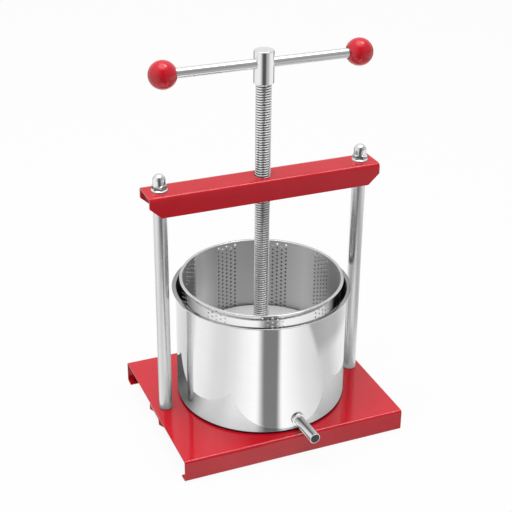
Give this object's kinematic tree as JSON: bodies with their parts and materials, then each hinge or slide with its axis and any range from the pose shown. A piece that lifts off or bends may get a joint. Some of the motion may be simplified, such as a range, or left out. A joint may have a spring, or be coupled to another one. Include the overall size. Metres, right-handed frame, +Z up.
{
  "type": "fruit press",
  "caption": "Table-top fruit press: folded steel base and cross beam on two columns, T-handle screw, round press plate, perforated basket, pot with drain spout.",
  "frame": {"origin": "on the bench, where the press screw's axis meets it", "axes": "+Z up along the press screw, +X along the cross beam to the user's right, -Y towards the user and the spout"},
  "size_m": [0.285, 0.2606, 0.4668],
  "materials": {
    "red_paint": "glossy powder coat on folded sheet",
    "polished_steel": "polished stainless steel",
    "satin_steel": "satin stainless steel",
    "zinc": "bright zinc plate",
    "red_plastic": "glossy moulded thermoset"
  },
  "bodies": {
    "frame": {"base_plate": "red_paint", "base_channel": "red_paint", "column_left": "polished_steel", "column_right": "polished_steel", "foot_washers": "zinc", "foot_nuts": "zinc", "top_beam": "red_paint", "cap_nuts": "polished_steel", "screw_bush": "zinc"},
    "pot": {"pot_shell": "polished_steel", "spout_collar": "polished_steel", "spout_tube": "polished_steel"},
    "basket": {"basket_shell": "satin_steel"},
    "plate": {"press_plate": "satin_steel", "plate_hub": "satin_steel"},
    "screw": {"press_screw": "polished_steel", "screw_head": "polished_steel", "keeper_washer": "zinc", "keeper_bolt": "zinc"},
    "handle": {"handle_bar": "polished_steel", "knob_left": "red_plastic", "knob_right": "red_plastic"}
  },
  "joints": [
    {"name": "plate_slide", "type": "slide", "parent": "frame", "child": "plate", "axis": [0, 0, 1], "range_m": [-0.055, 0.185]},
    {"name": "screw_turn", "type": "hinge", "parent": "plate", "child": "screw", "pos_m": [0, 0, 0.1048], "axis": [0, 0, 1], "range_deg": [-6600, 22200]},
    {"name": "handle_slide", "type": "slide", "parent": "screw", "child": "handle", "axis": [1, 0, 0], "range_m": [-0.0915, 0.0915]},
    {"name": "pot_turn", "type": "hinge", "parent": "frame", "child": "pot", "pos_m": [0, 0, 0.028], "axis": [0, 0, 1], "range_deg": [-86, 80]},
    {"name": "basket_turn", "type": "hinge", "parent": "pot", "child": "basket", "pos_m": [0, 0, 0.029], "axis": [0, 0, 1], "continuous": true}
  ],
  "couplings": [
    {"joint": "plate_slide", "follows": "screw_turn", "m_per_rad": 0.00047746}
  ]
}
